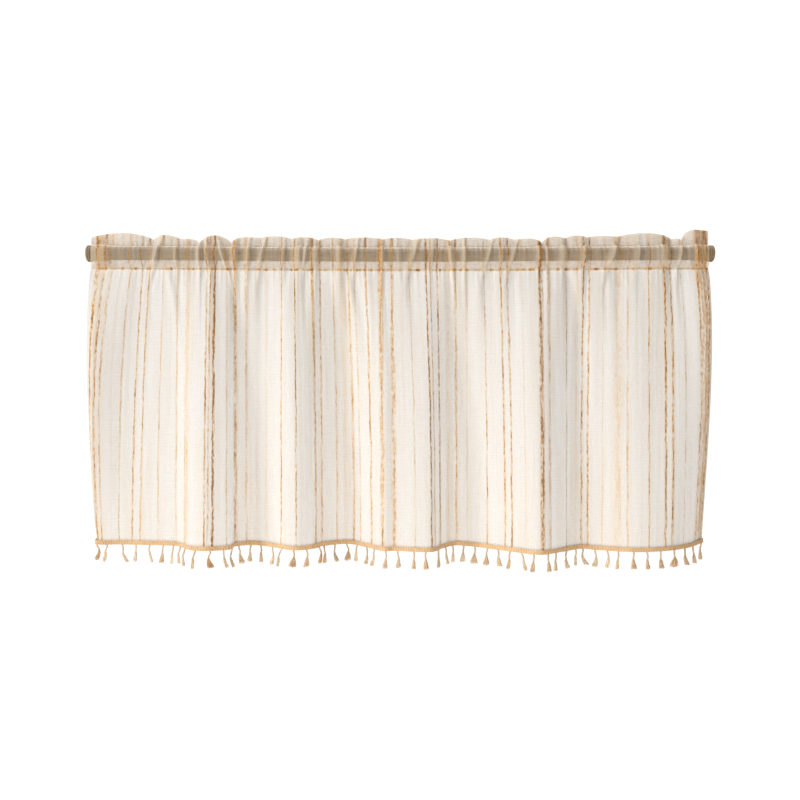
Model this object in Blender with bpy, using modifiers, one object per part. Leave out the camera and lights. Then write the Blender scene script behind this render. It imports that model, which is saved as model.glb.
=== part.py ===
"""Short gathered curtain with a tasselled hem, hanging on its rod.

Metres, +Z up. X runs along the rod from its left end face, the cloth's face looks to -Y, and
the origin is the centre of the rod's left end face.
"""

import math

import bmesh
import bpy
import numpy as np
from mathutils import Vector

# The rod: a steel tube pushed into two moulded end caps, measured over their flat faces.
ROD_LENGTH = 0.862
TUBE_DIAMETER = 0.018
TUBE_SAG = 0.0022
TUBE_POINTS = 14
CAP_COLLAR_DIAMETER = 0.023
CAP_COLLAR_LENGTH = 0.0062
CAP_SLEEVE_DIAMETER = 0.021
CAP_LENGTH = 0.027
CAP_FLOOR = 0.004
CAP_EDGE = 0.0012
CAP_SEGMENTS = 28
FIT_GAP = 0.0003
SLEEVE_CLEARANCE = 0.003       # how far past a sleeve's mouth the cloth still stands wide
SLEEVE_EASE = 0.012            # and over what length it then closes on the tube

# The cloth: one length, turned over the rod to the back and sewn down under it and above it.
CLOTH_THICKNESS = 0.001
SEAM_HALF = 0.001              # from a seam's middle to each layer's own middle
POCKET_SEAM_DROP = 0.0205      # under the rod's axis
HEADING_SEAM_RATIO = 1.1       # height of the upper seam over the axis, in pocket radii
HEADING_SWELL = 0.0016         # how far each layer of the ruffle stands off its middle
GATHER_BIAS = 0.0025           # how far a pinch is drawn back at the seams
GATHER_SWING = 0.9             # share of a puff that carries both layers forward at a seam
FRONT_PUFF = 0.55              # share of a puff that shows over the rod, in front
BACK_PUFF = 0.3                # and behind
TUCK_REACH = 0.6               # where the front layer turns in under the rod, in pocket radii
TUCK_DROP = 1.2                # and how far under the axis, in the same
TUCK_PUFF = 0.7
HEM_BAND = 0.009               # the turned hem, which hangs plumb
PITCHES = 56                   # tassels along the hem, two columns of cloth to each
COLUMNS = 2 * PITCHES

# Rows of the cloth round the rod, in degrees over the level of its axis, up the ruffle, and
# down the drop. A fold opens, to the front and sideways, faster than it falls.
POCKET_ANGLES = (-20.0, 20.0, 60.0)
HEADING_STEPS = (0.45, 0.88)
DROP_STEPS = (0.06, 0.28, 0.62, 1.0)
FOLD_OPENING = 1.9
GATHER_FADE = 3

# The hanging folds, left to right, in millimetres. pocket_x and hem_x are places along the rod
# at the seam and at the hem, depth is how far the hem stands to the front, and drop is the
# hem's distance under the rod's axis.
FOLD_COLUMNS = ("pocket_x", "hem_x", "depth", "drop")
FOLDS = (
    (7.7, 5.0, -16.0, 399.4),
    (27.0, 10.5, -6.5, 402.0),
    (60.9, 41.5, -9.5, 402.5),
    (87.6, 71.8, -9.0, 403.0),
    (109.0, 99.0, -8.0, 403.3),
    (125.7, 122.0, -4.5, 403.5),
    (135.0, 133.0, 5.0, 403.7),
    (143.6, 144.0, 17.5, 404.0),
    (164.8, 165.5, 26.0, 404.0),
    (184.1, 186.0, 20.0, 404.4),
    (196.3, 199.0, 13.5, 404.5),
    (203.1, 202.0, -6.0, 404.5),
    (230.1, 227.0, -15.5, 404.8),
    (258.2, 256.5, -3.0, 405.0),
    (282.5, 286.0, 15.0, 405.4),
    (305.7, 312.0, 2.5, 405.7),
    (320.0, 322.0, -13.5, 405.7),
    (350.7, 357.0, -29.0, 406.0),
    (376.5, 386.0, -7.5, 406.2),
    (404.0, 408.0, 15.0, 406.4),
    (419.2, 424.0, 13.5, 406.4),
    (447.5, 457.5, 19.5, 406.6),
    (467.7, 475.5, 17.5, 406.7),
    (484.6, 488.5, -4.0, 406.8),
    (505.2, 508.0, -23.5, 406.9),
    (529.8, 534.5, -15.5, 406.9),
    (569.0, 575.0, 10.0, 407.0),
    (616.0, 615.5, 34.0, 407.1),
    (647.2, 645.0, 20.5, 407.1),
    (681.4, 679.5, -3.0, 407.1),
    (702.8, 700.0, 4.0, 407.0),
    (754.0, 749.5, 19.0, 406.9),
    (795.5, 795.0, 12.0, 406.7),
    (824.0, 832.0, -8.0, 406.2),
    (853.6, 857.0, -27.0, 403.2),
)

# The side edges bow out and forward, most a little above mid drop: how far out, how much more
# of it forward, how early (under 1 is higher up), and the width of cloth where it dies away.
SIDE_BOW = 0.0046
BOW_FORWARD = 3.8
BOW_EARLY = 0.7
BOW_REACH = 0.075

# The gathers of pocket and ruffle, in millimetres: where each pinch sits on the rod, how high
# the ruffle's top is over the axis at the pinch and midway to the next one, and how far the
# cloth puffs out between the two.
GATHER_COLUMNS = ("x", "pinch_top", "crown_top", "puff")
GATHERS = (
    (5.8, 24.0, 29.0, 7.0),
    (90.6, 19.0, 26.0, 5.5),
    (124.8, 22.0, 21.0, 4.0),
    (153.7, 15.0, 26.0, 6.5),
    (197.4, 16.0, 24.0, 5.0),
    (241.1, 24.0, 25.5, 4.5),
    (279.9, 22.0, 24.5, 4.5),
    (318.2, 20.0, 24.0, 5.5),
    (355.5, 22.0, 24.5, 5.0),
    (407.1, 22.0, 24.0, 5.5),
    (446.9, 21.5, 23.5, 4.5),
    (499.6, 20.0, 24.0, 5.5),
    (555.2, 21.0, 24.0, 5.0),
    (588.1, 21.0, 22.5, 4.5),
    (626.8, 16.0, 25.0, 5.5),
    (659.6, 22.0, 26.0, 5.0),
    (688.4, 23.0, 25.0, 5.5),
    (732.2, 24.0, 28.5, 6.5),
    (805.2, 20.0, 21.0, 3.0),
    (818.7, 19.0, 33.0, 6.0),
    (854.9, 32.5, 32.5, 0.0),
)

PINCH_SHARPNESS = 0.7          # under 1, so a pinch is a crease and a puff is round

# The trim: a flat braid on the hem's face, with a tassel on a short cord at every pitch.
BRAID_HEIGHT = 0.0063
BRAID_THICKNESS = 0.0014
BRAID_OVERHANG = 0.0006
BRAID_GAP = 0.00035            # from the cloth's face, a little more than the fit at bends
# A tassel's four-sided rings, each a distance below the braid, a width and a depth.
TASSEL = (
    (0.0, 0.0018, 0.0011),
    (0.0095, 0.0015, 0.0012),
    (0.0118, 0.0036, 0.0028),
    (0.0215, 0.0064, 0.0042),
)
TASSEL_SWING = 0.0032          # widest sideways lean of a tassel's end
TASSEL_NOD = 0.4               # share of it that a tassel leans to the front or back
TASSEL_SEED = 11

MM = 0.001


def clear_scene():
    """Remove what the file opens with."""
    for thing in list(bpy.data.objects):
        bpy.data.objects.remove(thing, do_unlink=True)


def plain_material(name, colour, roughness, metallic):
    material = bpy.data.materials.new(name)
    material.use_nodes = True
    shader = material.node_tree.nodes["Principled BSDF"]
    shader.inputs["Base Color"].default_value = (*colour, 1.0)
    shader.inputs["Roughness"].default_value = roughness
    shader.inputs["Metallic"].default_value = metallic
    return material


def add_piece(name, data, collection, material):
    """Link one named sub-part with its own material."""
    piece = bpy.data.objects.new(name, data)
    data.materials.append(material)
    collection.objects.link(piece)
    return piece


def column(table, names, name):
    """One named column of a table, in its own units."""
    return np.array([row[names.index(name)] for row in table])


def through_stations(values, station):
    """Smooth curve through evenly numbered stations (Catmull-Rom), read at fractional numbers."""
    last = len(values) - 1
    first_ghost = 2 * values[0] - values[1]
    last_ghost = 2 * values[last] - values[last - 1]
    padded = np.concatenate(([first_ghost], values, [last_ghost]))
    low = np.clip(np.floor(station).astype(int), 0, last - 1)
    t = station - low
    before, here, after, beyond = (padded[low + step] for step in range(4))
    slope_in = (after - before) / 2
    slope_out = (beyond - here) / 2
    return ((2 * t**3 - 3 * t**2 + 1) * here + (t**3 - 2 * t**2 + t) * slope_in
            + (3 * t**2 - 2 * t**3) * after + (t**3 - t**2) * slope_out)


def rod_axis(x):
    """Height of the rod's axis: a beam held level in both caps, sagging between them."""
    half_span = ROD_LENGTH / 2 - CAP_LENGTH
    reach = np.clip((x - ROD_LENGTH / 2) / half_span, -1.0, 1.0)
    return -TUBE_SAG * (1 - reach**2) ** 2


def cloth_stations():
    """Station numbers of the cloth's columns, evenly spaced along the flat hem."""
    fine = np.linspace(0, len(FOLDS) - 1, 2001)
    hem_x = through_stations(column(FOLDS, FOLD_COLUMNS, "hem_x"), fine)
    depth = through_stations(column(FOLDS, FOLD_COLUMNS, "depth"), fine)
    run = np.concatenate(([0.0], np.cumsum(np.hypot(np.diff(hem_x), np.diff(depth)))))
    return np.interp(np.linspace(0, run[-1], COLUMNS + 1), run, fine)


def pocket_radius(x):
    """Middle of the cloth to the rod's axis: close on the tube, wider over the cap sleeves."""
    corner = math.cos(math.radians(POCKET_ANGLES[1]))
    on_tube = (TUBE_DIAMETER / 2 + FIT_GAP + CLOTH_THICKNESS / 2) / corner
    on_sleeve = (CAP_SLEEVE_DIAMETER / 2 + FIT_GAP + CLOTH_THICKNESS / 2) / corner
    from_end = np.minimum(x, ROD_LENGTH - x)
    ease = np.clip((from_end - CAP_LENGTH - SLEEVE_CLEARANCE) / SLEEVE_EASE, 0.0, 1.0)
    return on_sleeve + (on_tube - on_sleeve) * (3 * ease**2 - 2 * ease**3)


def gather_shape(x):
    """Height of the ruffle's top and outward puff of the cloth at places x along the rod."""
    pinch_x = column(GATHERS, GATHER_COLUMNS, "x") * MM
    pinch_top = column(GATHERS, GATHER_COLUMNS, "pinch_top") * MM
    crown_top = column(GATHERS, GATHER_COLUMNS, "crown_top") * MM
    puff = column(GATHERS, GATHER_COLUMNS, "puff") * MM
    index = np.clip(np.searchsorted(pinch_x, x, side="right") - 1, 0, len(GATHERS) - 2)
    t = np.clip((x - pinch_x[index]) / (pinch_x[index + 1] - pinch_x[index]), 0.0, 1.0)
    rise = np.sin(math.pi * t) ** PINCH_SHARPNESS
    level = pinch_top[index] + (pinch_top[index + 1] - pinch_top[index]) * t
    top = level + (crown_top[index] - level) * rise
    return top, puff[index] * rise


def cloth_rows():
    """Points of the cloth's middle surface, from the back layer's seam over the top to the hem."""
    station = cloth_stations()
    pocket_x = through_stations(column(FOLDS, FOLD_COLUMNS, "pocket_x"), station) * MM
    hem_x = through_stations(column(FOLDS, FOLD_COLUMNS, "hem_x"), station) * MM
    hem_depth = through_stations(column(FOLDS, FOLD_COLUMNS, "depth"), station) * MM
    hem_drop = through_stations(column(FOLDS, FOLD_COLUMNS, "drop"), station) * MM
    axis = rod_axis(pocket_x)
    radius = pocket_radius(pocket_x)
    top, puff = gather_shape(pocket_x)
    middle = GATHER_SWING * puff - GATHER_BIAS
    heading_seam = radius * HEADING_SEAM_RATIO
    rows = []

    def add(x, depth, height):
        rows.append(np.stack([x, -depth, height], axis=1))

    def pocket_row(side, angle):
        reach = radius + (FRONT_PUFF if side > 0 else BACK_PUFF) * puff
        add(pocket_x, side * reach * math.cos(angle), axis + reach * math.sin(angle))

    def ruffle_row(side, step):
        swell = SEAM_HALF + HEADING_SWELL * math.sin(math.pi * step) ** 0.5
        add(pocket_x, middle + side * swell, axis + heading_seam + (top - heading_seam) * step)

    def seam_row(side, height):
        add(pocket_x, middle + side * SEAM_HALF, axis + height)

    seam_row(-1, -POCKET_SEAM_DROP)
    for angle in POCKET_ANGLES:
        pocket_row(-1, math.radians(angle))
    seam_row(-1, heading_seam)
    for step in HEADING_STEPS:
        ruffle_row(-1, step)
    add(pocket_x, middle, axis + top)
    for step in reversed(HEADING_STEPS):
        ruffle_row(1, step)
    seam_row(1, heading_seam)
    for angle in reversed(POCKET_ANGLES):
        pocket_row(1, math.radians(angle))
    add(pocket_x, TUCK_REACH * radius + TUCK_PUFF * puff, axis - TUCK_DROP * radius)
    seam_row(1, -POCKET_SEAM_DROP)

    left_share = np.clip(1 - ((pocket_x - pocket_x[0]) / BOW_REACH) ** 2, 0.0, 1.0) ** 2
    right_share = np.clip(1 - ((pocket_x[-1] - pocket_x) / BOW_REACH) ** 2, 0.0, 1.0) ** 2
    seam_z = axis - POCKET_SEAM_DROP
    band_z = HEM_BAND - hem_drop
    for step in DROP_STEPS:
        bow = SIDE_BOW * math.sin(math.pi * step**BOW_EARLY)
        opened = 1 - (1 - step) ** FOLD_OPENING
        add(pocket_x + (hem_x - pocket_x) * opened + bow * (right_share - left_share),
            (middle + SEAM_HALF) * (1 - step) ** GATHER_FADE + hem_depth * opened
            + BOW_FORWARD * bow * (right_share + left_share),
            seam_z + (band_z - seam_z) * step)
    add(hem_x, hem_depth, -hem_drop)
    return np.array(rows)


def sheet_mesh(name, rows):
    """An open surface on a grid of points, facing the front where it hangs down."""
    count, width = rows.shape[:2]
    corner = np.arange(count * width).reshape(count, width)
    quads = np.stack([corner[:-1, :-1], corner[1:, :-1], corner[1:, 1:], corner[:-1, 1:]], axis=-1)
    mesh = bpy.data.meshes.new(name)
    mesh.from_pydata(rows.reshape(-1, 3).tolist(), [], quads.reshape(-1, 4).tolist())
    mesh.shade_smooth()
    return mesh


def build_curtain(collection, rows):
    """The cloth itself, given its thickness on both sides of the middle surface."""
    mesh = sheet_mesh("curtain", rows)
    cloth = add_piece("curtain", mesh, collection,
                      plain_material("cream_voile", (0.86, 0.82, 0.75), 0.85, 0.0))
    wall = cloth.modifiers.new("thickness", "SOLIDIFY")
    wall.thickness = CLOTH_THICKNESS
    wall.offset = 0.0
    return cloth


def build_tube(collection):
    """The rod's steel tube, straight inside the caps and sagging a little between them."""
    start = CAP_FLOOR + FIT_GAP
    free = np.linspace(CAP_LENGTH, ROD_LENGTH - CAP_LENGTH, TUBE_POINTS - 2)
    points_x = np.concatenate(([start], free, [ROD_LENGTH - start]))
    curve = bpy.data.curves.new("rod_tube", "CURVE")
    curve.dimensions = "3D"
    curve.bevel_depth = TUBE_DIAMETER / 2
    curve.bevel_resolution = 6
    curve.use_fill_caps = True
    spline = curve.splines.new("POLY")
    spline.points.add(len(points_x) - 1)
    for point, x in zip(spline.points, points_x):
        point.co = (x, 0.0, rod_axis(x), 1.0)
    return add_piece("rod_tube", curve, collection,
                     plain_material("taupe_enamel", (0.30, 0.25, 0.17), 0.35, 0.6))


def cap_mesh(name):
    """Half section of an end cap, from its socket's floor round the mouth to its flat face."""
    bore = TUBE_DIAMETER / 2 + FIT_GAP
    sleeve = CAP_SLEEVE_DIAMETER / 2
    collar = CAP_COLLAR_DIAMETER / 2
    profile = (
        (0.0, CAP_FLOOR),
        (bore, CAP_FLOOR),
        (bore, CAP_LENGTH),
        (sleeve - CAP_EDGE / 2, CAP_LENGTH),
        (sleeve, CAP_LENGTH - CAP_EDGE),
        (sleeve, CAP_COLLAR_LENGTH),
        (collar, CAP_COLLAR_LENGTH),
        (collar, CAP_EDGE),
        (collar - CAP_EDGE, 0.0),
        (0.0, 0.0),
    )
    mesh = bpy.data.meshes.new(name)
    points = [(radius, 0.0, height) for radius, height in profile]
    mesh.from_pydata(points, [(i, i + 1) for i in range(len(points) - 1)], [])
    return mesh


def build_caps(collection):
    """Two moulded caps, turned about the rod's axis with their flat faces outwards."""
    material = plain_material("taupe_cap", (0.16, 0.13, 0.08), 0.5, 0.0)
    places = (("rod_cap_left", 0.0, math.pi / 2), ("rod_cap_right", ROD_LENGTH, -math.pi / 2))
    for name, x, turn in places:
        cap = add_piece(name, cap_mesh(name), collection, material)
        cap.location = (x, 0.0, 0.0)
        cap.rotation_euler = (0.0, turn, 0.0)
        lathe = cap.modifiers.new("turned", "SCREW")
        lathe.axis = "Z"
        lathe.steps = CAP_SEGMENTS
        lathe.render_steps = CAP_SEGMENTS
        lathe.use_merge_vertices = True
        lathe.merge_threshold = 0.00001


def hem_frame(hem):
    """Unit directions along the hem and to its front, both level, at each column."""
    along = np.gradient(hem[:, :2], axis=0)
    along /= np.linalg.norm(along, axis=1)[:, None]
    along = np.column_stack([along, np.zeros(len(hem))])
    front = np.column_stack([along[:, 1], -along[:, 0], np.zeros(len(hem))])
    return along, front


def place_ring(face, centre, along, front, width, depth):
    """Move a face's four corners to a rectangle about a new centre, each on its own side."""
    across = sorted(face.verts, key=lambda vert: vert.co.dot(along))
    for pair, side in ((across[:2], -0.5), (across[2:], 0.5)):
        back, fore = sorted(pair, key=lambda vert: vert.co.dot(front))
        back.co = centre + along * side * width - front * depth / 2
        fore.co = centre + along * side * width + front * depth / 2


def build_trim(collection, hem):
    """Braid and tassels as one body: each tassel grows out of the braid's lower edge."""
    along, front = hem_frame(hem)
    inner = hem + front * (CLOTH_THICKNESS / 2 + BRAID_GAP)
    lower = inner - (0.0, 0.0, BRAID_OVERHANG)
    upper = lower + (0.0, 0.0, BRAID_HEIGHT)
    mesh = sheet_mesh("tassel_trim", np.array([upper, lower]))
    bm = bmesh.new()
    bm.from_mesh(mesh)
    grown = bmesh.ops.extrude_face_region(bm, geom=bm.faces[:])["geom"]
    new_verts = [item for item in grown if isinstance(item, bmesh.types.BMVert)]
    for vert in new_verts:
        nearest = int(np.argmin(np.linalg.norm(inner[:, :2] - np.array(vert.co[:2]), axis=1)))
        vert.co += Vector(front[nearest]) * BRAID_THICKNESS
    bmesh.ops.recalc_face_normals(bm, faces=bm.faces[:])

    under = [face for face in bm.faces if face.normal.z < -0.9]
    cells = [round(number * (COLUMNS - 1) / (PITCHES - 1)) for number in range(PITCHES)]
    roots = []
    for cell in cells:
        middle = Vector(((hem[cell] + hem[cell + 1]) / 2)[:2])
        roots.append(min(under, key=lambda item: (item.calc_center_median().xy - middle).length))
    swing = np.random.default_rng(TASSEL_SEED).uniform(-1.0, 1.0, (PITCHES, 2))
    for number, (cell, face) in enumerate(zip(cells, roots)):
        run = Vector(along[cell] + along[cell + 1]).normalized()
        out = Vector(front[cell] + front[cell + 1]).normalized()
        root = face.calc_center_median()
        lean = run * float(swing[number, 0]) + out * float(TASSEL_NOD * swing[number, 1])
        for below, width, depth in TASSEL:
            face = bmesh.ops.extrude_discrete_faces(bm, faces=[face])["faces"][0]
            fall = below / TASSEL[-1][0]
            centre = root + Vector((0.0, 0.0, -below)) + lean * TASSEL_SWING * fall
            place_ring(face, centre, run, out, width, depth)
    bmesh.ops.recalc_face_normals(bm, faces=bm.faces[:])
    bm.to_mesh(mesh)
    bm.free()
    return add_piece("tassel_trim", mesh, collection,
                     plain_material("tan_braid", (0.62, 0.43, 0.24), 0.8, 0.0))


def main():
    clear_scene()
    collection = bpy.data.collections.new("tasselled_curtain")
    bpy.context.scene.collection.children.link(collection)
    rows = cloth_rows()
    build_tube(collection)
    build_caps(collection)
    build_curtain(collection, rows)
    build_trim(collection, rows[-1])


main()
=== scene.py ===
import math

import bpy
import numpy as np
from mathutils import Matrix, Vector


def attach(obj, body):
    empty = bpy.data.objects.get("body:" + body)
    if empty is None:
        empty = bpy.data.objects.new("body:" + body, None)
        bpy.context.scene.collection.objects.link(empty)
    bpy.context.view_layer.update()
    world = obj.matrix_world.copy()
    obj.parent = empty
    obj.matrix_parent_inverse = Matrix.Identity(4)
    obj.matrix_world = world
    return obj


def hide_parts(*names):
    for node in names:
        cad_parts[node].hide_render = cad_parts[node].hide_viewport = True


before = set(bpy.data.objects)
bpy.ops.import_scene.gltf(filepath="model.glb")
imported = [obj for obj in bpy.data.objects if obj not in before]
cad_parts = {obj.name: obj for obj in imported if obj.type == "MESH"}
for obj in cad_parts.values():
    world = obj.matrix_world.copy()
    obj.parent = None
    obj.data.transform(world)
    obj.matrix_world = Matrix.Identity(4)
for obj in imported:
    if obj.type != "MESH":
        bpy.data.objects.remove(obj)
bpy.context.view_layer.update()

# Camera: square to the rod, level, a little above the cloth's middle. The frame is shifted
# down so that rod and tassels stand as far from its middle as they do in the photograph.
CAMERA_X = 0.4307
CAMERA_Z = -0.15
CAMERA_DISTANCE = 1.175        # from the rod's own plane
VIEW_WIDTH = 1.104             # of the rod's plane, seen across the picture
VIEW_MIDDLE_Z = -0.202

camera_data = bpy.data.cameras.new("camera")
camera_data.lens = camera_data.sensor_width * CAMERA_DISTANCE / VIEW_WIDTH
camera_data.shift_y = (VIEW_MIDDLE_Z - CAMERA_Z) / VIEW_WIDTH
camera = bpy.data.objects.new("camera", camera_data)
camera.location = (CAMERA_X, -CAMERA_DISTANCE, CAMERA_Z)
camera.rotation_euler = (math.pi / 2, 0.0, 0.0)
bpy.context.scene.collection.objects.link(camera)
bpy.context.scene.camera = camera


# Rod tube: thin steel, rolled and sprayed with a satin taupe enamel. It is pushed into both end
# caps and sags a little under its own weight between them.
ROD_LENGTH = 0.862
TUBE_RADIUS = 0.009
TUBE_SAG = 0.0022
TUBE_START = 0.0043            # its ends, inside the caps
CAP_LENGTH = 0.027
TUBE_RINGS = 96
TUBE_SIDES = 64
BOTH_ENDS = (0, -1)


def rod_axis(x):
    """Height of the rod's axis: a beam held level in both caps, sagging between them."""
    half_span = ROD_LENGTH / 2 - CAP_LENGTH
    reach = np.clip((x - ROD_LENGTH / 2) / half_span, -1.0, 1.0)
    return -TUBE_SAG * (1 - reach**2) ** 2


def skin(name, grids, uv=None, closed=False, capped=()):
    """Mesh over grids of points, an array of (grids, rows, columns, 3).

    Each four neighbouring points make a face. closed joins the last column to the first, and
    capped names the rows to fill: 0 the first, -1 the last. uv has a column more than the points
    when closed."""
    count, rows, columns = grids.shape[:3]
    corner = np.arange(count * rows * columns).reshape(count, rows, columns)
    if closed:
        corner = np.concatenate([corner, corner[:, :, :1]], axis=2)
    place = np.arange(corner.size).reshape(corner.shape)

    def quads(number):
        return np.stack([number[:, :-1, :-1], number[:, 1:, :-1],
                         number[:, 1:, 1:], number[:, :-1, 1:]], axis=-1).reshape(-1, 4)

    faces = quads(corner).tolist()
    spots = [quads(place).ravel()]
    for row in capped:
        ring = np.arange(columns) if row == 0 else np.arange(columns)[::-1]
        faces.extend(corner[:, row, ring].tolist())
        spots.append(place[:, row, ring].ravel())
    mesh = bpy.data.meshes.new(name)
    mesh.from_pydata(grids.reshape(-1, 3).tolist(), [], faces)
    if uv is not None:
        layer = mesh.uv_layers.new(name="UVMap")
        layer.data.foreach_set("uv", uv.reshape(-1, 2)[np.concatenate(spots)].ravel())
    mesh.shade_smooth()
    return mesh


def hang_up(name, mesh, material, slot, *nodes):
    """A finished piece, linked, riding on the one body and standing for its CAD nodes."""
    piece = bpy.data.objects.new(name, mesh)
    mesh.materials.append(material)
    bpy.context.scene.collection.objects.link(piece)
    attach(piece, "root")
    if nodes:
        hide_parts(*nodes)
    return piece


def put(tree, kind, sockets=None, **fields):
    """Add a node, set its fields, and give its sockets a value or join them to an output."""
    added = tree.nodes.new(kind)
    for field, value in fields.items():
        setattr(added, field, value)
    for socket, value in (sockets or {}).items():
        if isinstance(value, bpy.types.NodeSocket):
            tree.links.new(value, added.inputs[socket])
        else:
            added.inputs[socket].default_value = value
    return added


def maths(tree, operation, *values, clamp=False):
    """Output of one Math node on numbers or outputs."""
    return put(tree, "ShaderNodeMath", dict(enumerate(values)),
               operation=operation, use_clamp=clamp).outputs[0]


def blend_colour(tree, share, first, second):
    """Output of a colour that goes from first to second as share goes from 0 to 1."""
    mixed = put(tree, "ShaderNodeMix", {0: share, 6: first, 7: second}, data_type="RGBA")
    return mixed.outputs[2]


def stretched(tree, vector, scale):
    """Output of a vector multiplied along each of its axes."""
    return put(tree, "ShaderNodeVectorMath", {0: vector, 1: scale},
               operation="MULTIPLY").outputs[0]


def noise(tree, vector, scale, detail=2.0):
    """Output of a grey noise from 0 to 1."""
    return put(tree, "ShaderNodeTexNoise",
               {"Vector": vector, "Scale": scale, "Detail": detail}).outputs[0]


def start_material(name):
    """A new material, its node tree and its shader."""
    material = bpy.data.materials.new(name)
    material.use_nodes = True
    return material, material.node_tree, material.node_tree.nodes["Principled BSDF"]


def new_group(name, inputs, outputs):
    """An empty shader node group, its inner input node and inner output node."""
    group = bpy.data.node_groups.new(name, "ShaderNodeTree")
    for in_out, sockets in (("INPUT", inputs), ("OUTPUT", outputs)):
        for label, kind in sockets:
            group.interface.new_socket(label, in_out=in_out, socket_type="NodeSocket" + kind)
    return group, group.nodes.new("NodeGroupInput"), group.nodes.new("NodeGroupOutput")


# Sprayed skin: broad cloudiness and fine orange peel, for the tube's enamel and the caps.
CLOUD_SCALE = 22.0             # clouds a metre
GRAIN_SHARE = 0.35             # of the change in colour; the rest is the clouds'
sprayed_skin, given, made = new_group(
    "sprayed_skin",
    (("Vector", "Vector"), ("Grain", "Float"), ("Light", "Color"), ("Dark", "Color"),
     ("Smooth", "Float"), ("Rough", "Float")),
    (("Color", "Color"), ("Roughness", "Float"), ("Height", "Float")))
clouds = noise(sprayed_skin, given.outputs["Vector"], CLOUD_SCALE, 3.0)
grain = noise(sprayed_skin, given.outputs["Vector"], given.outputs["Grain"])
cloudy = maths(sprayed_skin, "MULTIPLY", clouds, 1 - GRAIN_SHARE)
shade = maths(sprayed_skin, "MULTIPLY_ADD", grain, GRAIN_SHARE, cloudy)
sprayed_skin.links.new(
    blend_colour(sprayed_skin, shade, given.outputs["Dark"], given.outputs["Light"]),
    made.inputs["Color"])
spread = maths(sprayed_skin, "SUBTRACT", given.outputs["Rough"], given.outputs["Smooth"])
sprayed_skin.links.new(
    maths(sprayed_skin, "MULTIPLY_ADD", clouds, spread, given.outputs["Smooth"]),
    made.inputs["Roughness"])
sprayed_skin.links.new(grain, made.inputs["Height"])


def emboss(tree, shader, height, depth, strength=0.6):
    """Turn a shader's normal by the slope of a height, as relief of a depth in metres."""
    relief = put(tree, "ShaderNodeBump",
                 {"Height": height, "Distance": depth, "Strength": strength})
    tree.links.new(relief.outputs[0], shader.inputs["Normal"])


def sprayed(name, light, dark, smooth, rough, grain_scale, depth, metallic=0.0):
    """Opaque sprayed or moulded finish, with its own grain pressed into the surface."""
    material, tree, shader = start_material(name)
    coat = put(tree, "ShaderNodeGroup", {
        "Vector": put(tree, "ShaderNodeTexCoord").outputs["Object"], "Grain": grain_scale,
        "Light": light, "Dark": dark, "Smooth": smooth, "Rough": rough},
        node_tree=sprayed_skin)
    tree.links.new(coat.outputs["Color"], shader.inputs["Base Color"])
    tree.links.new(coat.outputs["Roughness"], shader.inputs["Roughness"])
    emboss(tree, shader, coat.outputs["Height"], depth)
    shader.inputs["Metallic"].default_value = metallic
    return material


tube_x = np.linspace(TUBE_START, ROD_LENGTH - TUBE_START, TUBE_RINGS)
around = np.linspace(0, 2 * math.pi, TUBE_SIDES, endpoint=False)
tube_points = np.stack([
    np.broadcast_to(tube_x[:, None], (TUBE_RINGS, TUBE_SIDES)),
    np.broadcast_to(TUBE_RADIUS * np.cos(around), (TUBE_RINGS, TUBE_SIDES)),
    rod_axis(tube_x)[:, None] - TUBE_RADIUS * np.sin(around)], axis=-1)
tube_enamel = sprayed(
    "taupe_enamel", light=(0.17, 0.095, 0.034, 1.0), dark=(0.10, 0.052, 0.018, 1.0),
    smooth=0.27, rough=0.36, grain_scale=900.0, depth=0.00003, metallic=0.5)
tube_mesh = skin("rod_tube_enamelled", tube_points[None], closed=True, capped=BOTH_ENDS)
rod = hang_up("rod_tube_enamelled", tube_mesh, tube_enamel, "rod", "rod_tube")


# End caps: two identical plastic mouldings, a sleeve over the tube's end behind a wider collar
# with one turned line in it. The cloth slides over the sleeve and stops at the collar.
MM = 0.001
CAP_SIDES = 72
CAP_EDGE_ANGLE = 50            # degrees: what bends more than this stays a crisp edge
# Half section, in millimetres from the axis and from the flat end face, round to the mouth.
CAP_PROFILE = (
    (4.0, 0.15), (7.5, 0.12), (9.9, 0.0), (10.7, 0.12), (11.3, 0.65), (11.5, 1.3), (11.5, 2.9),
    (11.42, 3.1), (11.05, 3.25), (11.0, 3.45), (11.05, 3.65), (11.42, 3.8), (11.5, 4.0),
    (11.5, 5.5), (11.3, 6.0), (10.9, 6.2), (10.5, 6.25), (10.5, 6.6), (10.5, 25.6),
    (10.35, 26.4), (9.9, 27.0), (9.3, 27.0), (9.3, 26.6), (9.3, 4.0), (5.0, 4.0))

cap_radius, cap_reach = np.array(CAP_PROFILE).T * MM
cap_turn = np.linspace(0, 2 * math.pi, CAP_SIDES, endpoint=False)
cap_plastic = sprayed(
    "moulded_taupe", light=(0.40, 0.30, 0.19, 1.0), dark=(0.22, 0.16, 0.095, 1.0),
    smooth=0.42, rough=0.55, grain_scale=1500.0, depth=0.00004)
for cap_name, end_x, inward in (("rod_cap_left", 0.0, 1), ("rod_cap_right", ROD_LENGTH, -1)):
    cap_points = np.stack([
        np.broadcast_to((end_x + inward * cap_reach)[:, None], (len(cap_reach), CAP_SIDES)),
        -inward * cap_radius[:, None] * np.cos(cap_turn),
        cap_radius[:, None] * np.sin(cap_turn)], axis=-1)
    cap_mesh = skin(cap_name + "_moulded", cap_points[None], closed=True, capped=BOTH_ENDS)
    cap_mesh.set_sharp_from_angle(angle=math.radians(CAP_EDGE_ANGLE))
    hang_up(cap_name + "_moulded", cap_mesh, cap_plastic, "cap", cap_name)


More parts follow.
